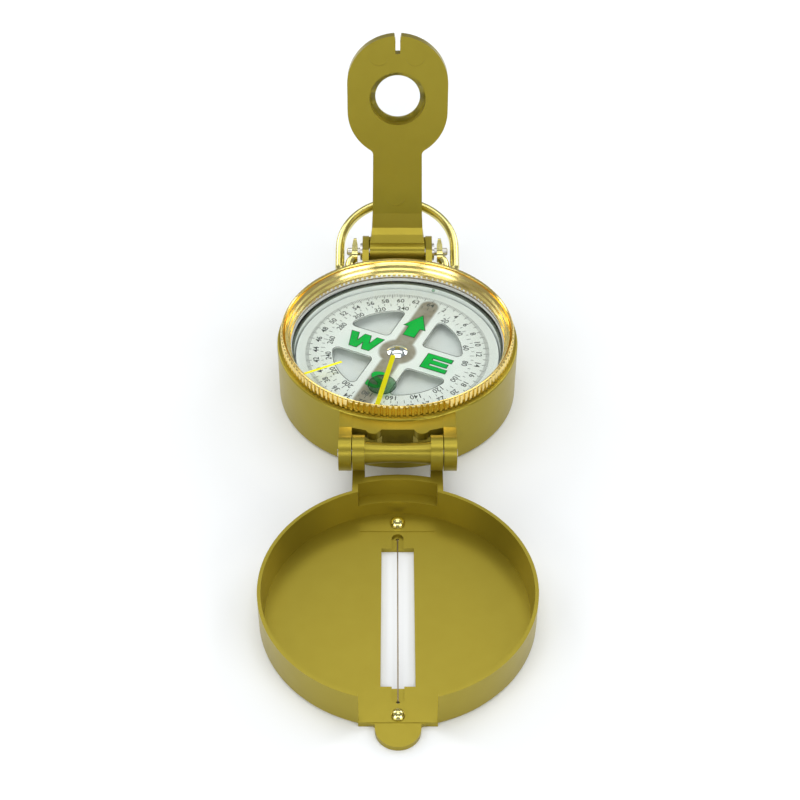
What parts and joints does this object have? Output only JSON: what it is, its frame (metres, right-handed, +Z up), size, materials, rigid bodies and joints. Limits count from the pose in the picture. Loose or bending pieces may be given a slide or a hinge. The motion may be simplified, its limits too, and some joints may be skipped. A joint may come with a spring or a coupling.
{
  "type": "sighting compass",
  "caption": "Folding sighting compass: round liquid-filled dial under a turning bezel, hinged lid with a wire sight, fold-down sight arm and a thumb ring.",
  "frame": {"origin": "centre of the round case's flat base, on the surface the compass rests on", "axes": "+Z up; -Y towards the open lid; +Y towards the raised sight arm"},
  "size_m": [0.058, 0.1545, 0.0706],
  "materials": {
    "gold_paint": "satin gold paint over die-cast metal",
    "bezel_gold": "polished orange-gold",
    "pale_brass": "polished pale brass",
    "steel": "plain steel",
    "chrome": "polished",
    "clear_glass": "clear",
    "clear_plastic": "clear, glossy",
    "capsule_white": "silvery white",
    "seal_rubber": "dark grey-green",
    "dial_white": "slightly translucent white",
    "needle_grey": "brown-grey",
    "line_yellow": "bright yellow paint",
    "jewel": "polished stone"
  },
  "bodies": {
    "case": {"case_body": "gold_paint", "snap_ring": "steel", "capsule_cup": "capsule_white", "capsule_gasket": "seal_rubber", "capsule_cover": "clear_plastic", "capsule_index_line": "line_yellow", "pivot_post": "steel", "fill_plug": "seal_rubber", "lid_hinge_pin": "steel", "arm_hinge_pin": "steel", "pin_washers": "steel"},
    "bezel": {"bezel_ring": "bezel_gold", "crystal": "clear_glass", "crystal_index_line": "line_yellow"},
    "card": {"dial_card": "dial_white", "needle_bar": "needle_grey", "pivot_cap": "chrome", "jewel_bearing": "jewel"},
    "lid": {"lid_cup": "gold_paint", "sight_wire": "steel", "wire_screws": "pale_brass"},
    "arm": {"sight_arm": "gold_paint", "magnifier_lens": "clear_glass"},
    "thumb_ring": {"thumb_ring": "pale_brass"}
  },
  "joints": [
    {"name": "bezel_turn", "type": "hinge", "parent": "case", "child": "bezel", "pos_m": [0, 0, 0], "axis": [0, 0, 1], "continuous": true},
    {"name": "card_spin", "type": "hinge", "parent": "case", "child": "card", "pos_m": [0, 0, 0], "axis": [0, 0, 1], "continuous": true},
    {"name": "lid_hinge", "type": "hinge", "parent": "case", "child": "lid", "pos_m": [0, -0.0357, 0.0124], "axis": [-1, 0, 0], "range_deg": [0, 180]},
    {"name": "arm_hinge", "type": "hinge", "parent": "case", "child": "arm", "pos_m": [0, 0.0332, 0.0162], "axis": [1, 0, 0], "range_deg": [0, 98]},
    {"name": "thumb_ring_swing", "type": "hinge", "parent": "case", "child": "thumb_ring", "pos_m": [0, 0.0332, 0.0162], "axis": [-1, 0, 0], "range_deg": [-35, 78]}
  ]
}
